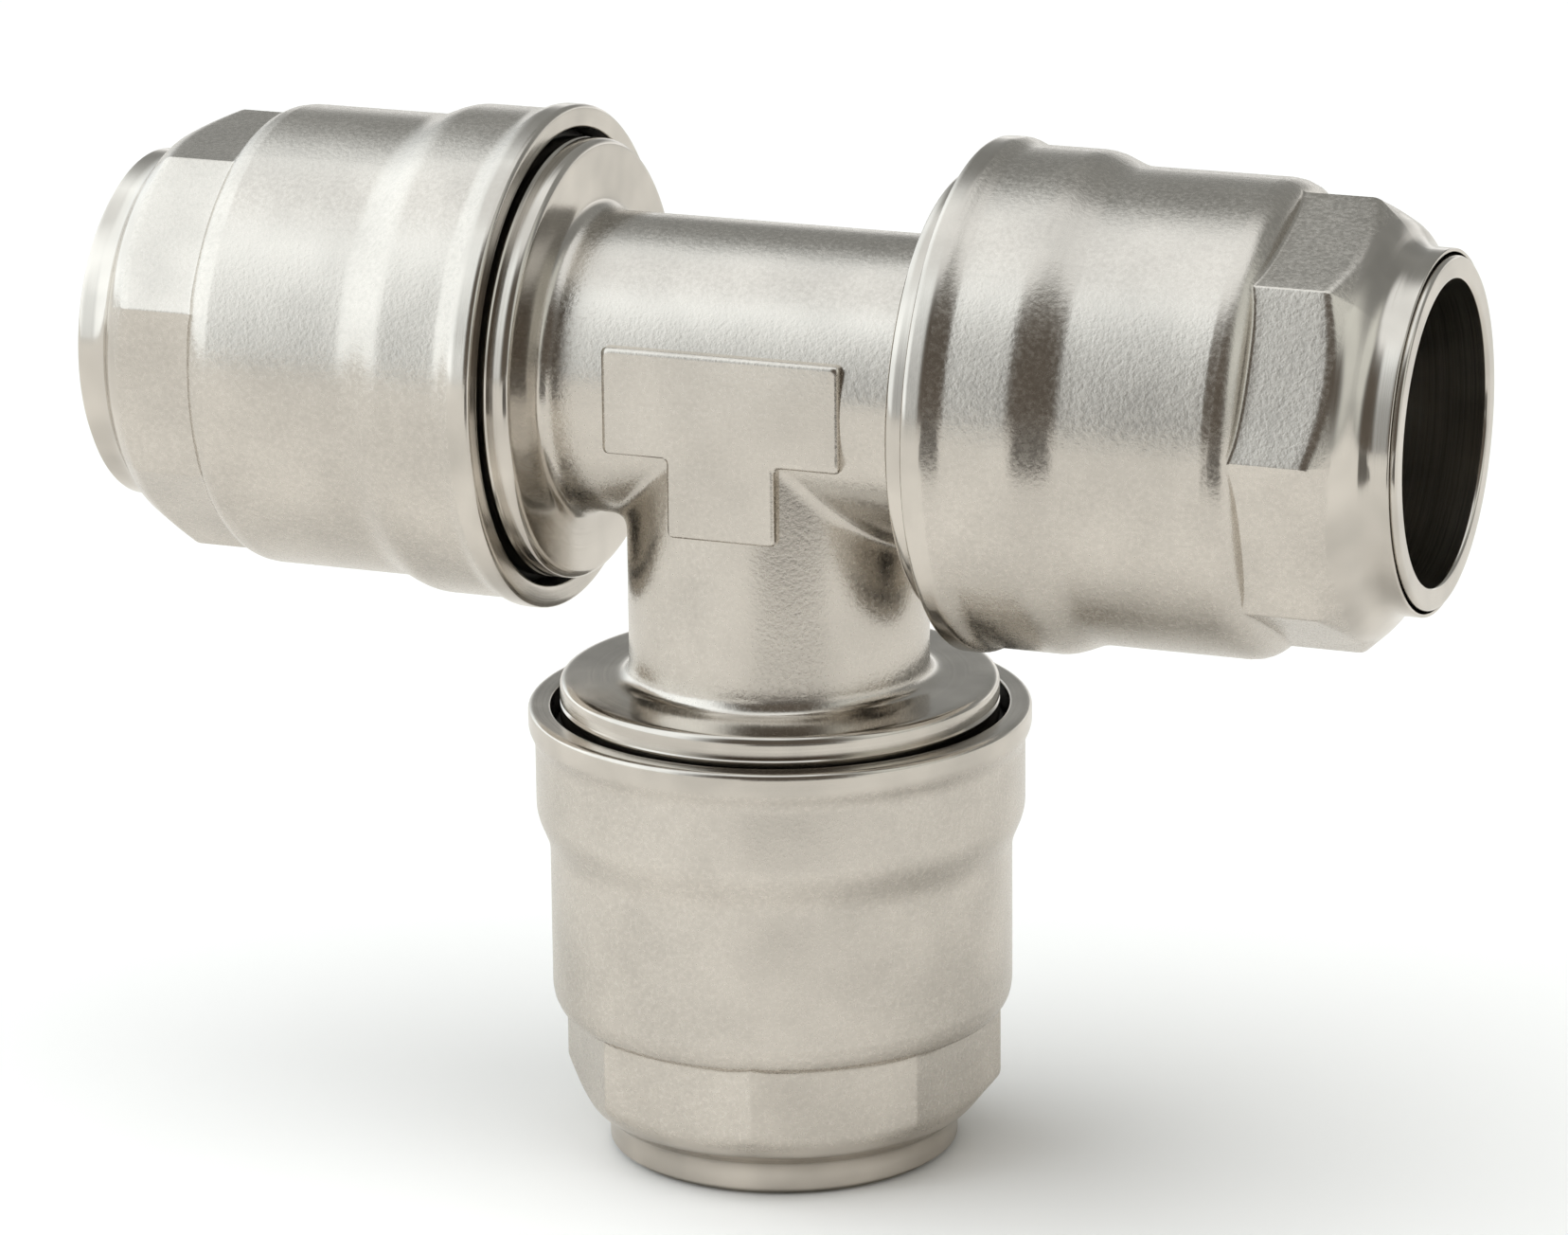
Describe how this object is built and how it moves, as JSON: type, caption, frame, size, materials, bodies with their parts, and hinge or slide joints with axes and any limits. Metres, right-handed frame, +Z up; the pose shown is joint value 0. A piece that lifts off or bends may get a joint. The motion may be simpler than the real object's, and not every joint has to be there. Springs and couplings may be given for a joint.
{
  "type": "push to connect fitting",
  "caption": "Equal tee push to connect fitting in nickel-plated brass, with octagonal clamping nuts, release collets, grip rings and seals for 20 mm tube.",
  "frame": {"origin": "centre of the branch collet's end face, which is the plane the fitting stands on", "axes": "+X along the run, +Z up from the branch port to the run axis, -Y out of the front that carries the raised T-shaped pad"},
  "size_m": [0.0934, 0.0344, 0.0716],
  "materials": {
    "body_nickel": "satin nickel plating over forged brass, with brighter machined flanges",
    "satin_nickel": "fine-grained satin nickel plating over brass",
    "bright_nickel": "smooth machined surface with nickel plating over brass",
    "brass": "turned brass, unplated",
    "stainless": "stamped stainless spring steel",
    "seal_rubber": "matt black nitrile rubber",
    "backup_plastic": "natural white acetal"
  },
  "bodies": {
    "body": {"tee_body": "body_nickel", "backup_washer_left": "backup_plastic", "tube_seal_left": "seal_rubber", "dust_seal_left": "seal_rubber", "backup_washer_right": "backup_plastic", "tube_seal_right": "seal_rubber", "dust_seal_right": "seal_rubber", "backup_washer_branch": "backup_plastic", "tube_seal_branch": "seal_rubber", "dust_seal_branch": "seal_rubber"},
    "clamp_left": {"wedge_ring_left": "brass", "grip_ring_left": "stainless"},
    "nut_left": {"nut_left": "satin_nickel"},
    "collet_left": {"release_collet_left": "bright_nickel"},
    "clamp_right": {"wedge_ring_right": "brass", "grip_ring_right": "stainless"},
    "nut_right": {"nut_right": "satin_nickel"},
    "collet_right": {"release_collet_right": "bright_nickel"},
    "clamp_branch": {"wedge_ring_branch": "brass", "grip_ring_branch": "stainless"},
    "nut_branch": {"nut_branch": "satin_nickel"},
    "collet_branch": {"release_collet_branch": "bright_nickel"}
  },
  "joints": [
    {"name": "clamp_slide_left", "type": "slide", "parent": "body", "child": "clamp_left", "axis": [-1, 0, 0], "range_m": [0, 0.003]},
    {"name": "nut_turn_left", "type": "hinge", "parent": "clamp_left", "child": "nut_left", "pos_m": [0, 0, 0.0544], "axis": [-1, 0, 0], "range_deg": [0, 720]},
    {"name": "collet_push_left", "type": "slide", "parent": "clamp_left", "child": "collet_left", "axis": [1, 0, 0], "range_m": [0, 0.0015], "stiffness_N_per_m": 2000, "springref_m": -0.005},
    {"name": "clamp_slide_right", "type": "slide", "parent": "body", "child": "clamp_right", "axis": [1, 0, 0], "range_m": [0, 0.003]},
    {"name": "nut_turn_right", "type": "hinge", "parent": "clamp_right", "child": "nut_right", "pos_m": [0, 0, 0.0544], "axis": [1, 0, 0], "range_deg": [0, 720]},
    {"name": "collet_push_right", "type": "slide", "parent": "clamp_right", "child": "collet_right", "axis": [-1, 0, 0], "range_m": [0, 0.0015], "stiffness_N_per_m": 2000, "springref_m": -0.005},
    {"name": "clamp_slide_branch", "type": "slide", "parent": "body", "child": "clamp_branch", "axis": [0, 0, -1], "range_m": [0, 0.003]},
    {"name": "nut_turn_branch", "type": "hinge", "parent": "clamp_branch", "child": "nut_branch", "pos_m": [0, 0, 0.02], "axis": [0, 0, -1], "range_deg": [0, 720]},
    {"name": "collet_push_branch", "type": "slide", "parent": "clamp_branch", "child": "collet_branch", "axis": [0, 0, 1], "range_m": [0, 0.0015], "stiffness_N_per_m": 2000, "springref_m": -0.005}
  ],
  "couplings": [
    {"joint": "nut_turn_left", "follows": "clamp_slide_left", "rad_per_m": 4188.8},
    {"joint": "nut_turn_right", "follows": "clamp_slide_right", "rad_per_m": 4188.8},
    {"joint": "nut_turn_branch", "follows": "clamp_slide_branch", "rad_per_m": 4188.8}
  ]
}
